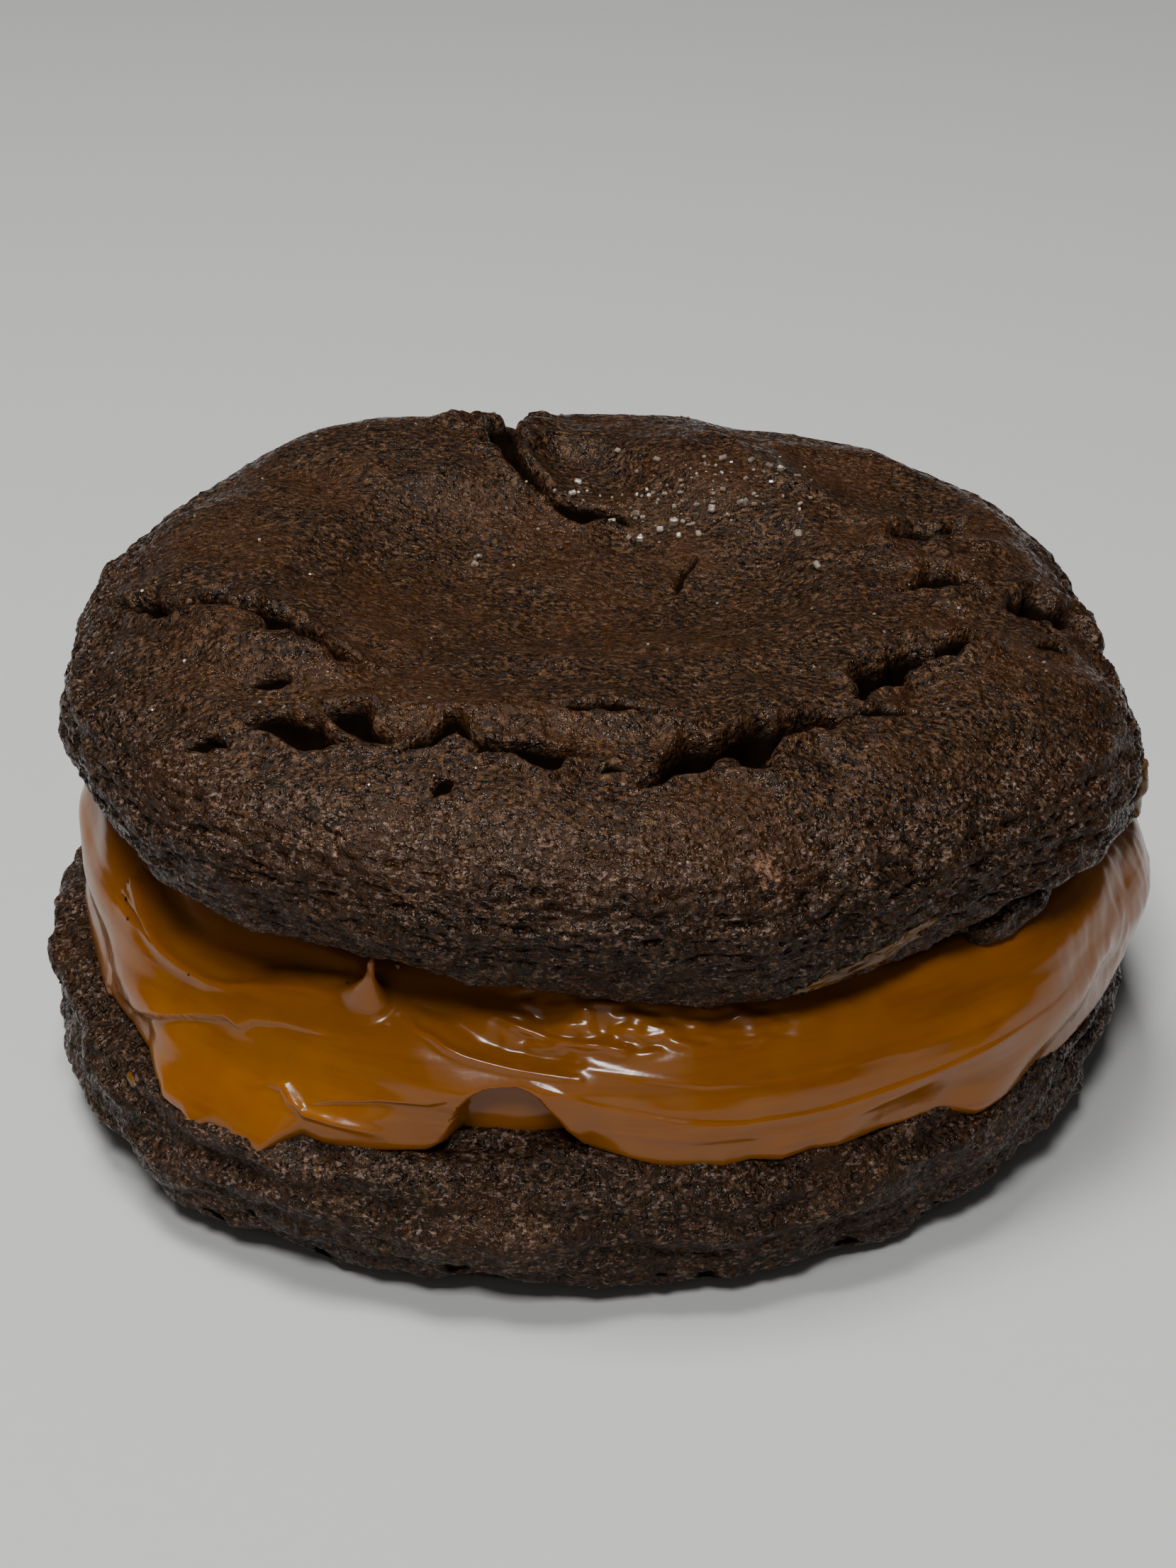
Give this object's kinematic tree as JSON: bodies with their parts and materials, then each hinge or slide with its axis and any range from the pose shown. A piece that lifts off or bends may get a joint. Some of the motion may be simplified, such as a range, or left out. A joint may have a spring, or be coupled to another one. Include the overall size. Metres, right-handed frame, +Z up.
{
  "type": "brownie alfajor",
  "caption": "Round sandwich of two thick, crackle-topped chocolate cookies with a deep band of milk caramel between them, ready to set on a plate or tray.",
  "frame": {"origin": "centre of the object's footprint, on the surface that it stands on", "axes": "+Z up through both cookies; -Y is the side that the picture shows, with +X to its right"},
  "size_m": [0.076, 0.0784, 0.0353],
  "materials": {
    "lower_cookie": "matte, crumbly baked chocolate dough",
    "caramel": "glossy, thick milk caramel",
    "upper_cookie": "matte, crackled baked chocolate dough"
  },
  "bodies": {
    "root": {"bottom_cookie": "lower_cookie", "caramel_filling": "caramel", "top_cookie": "upper_cookie"}
  },
  "joints": []
}
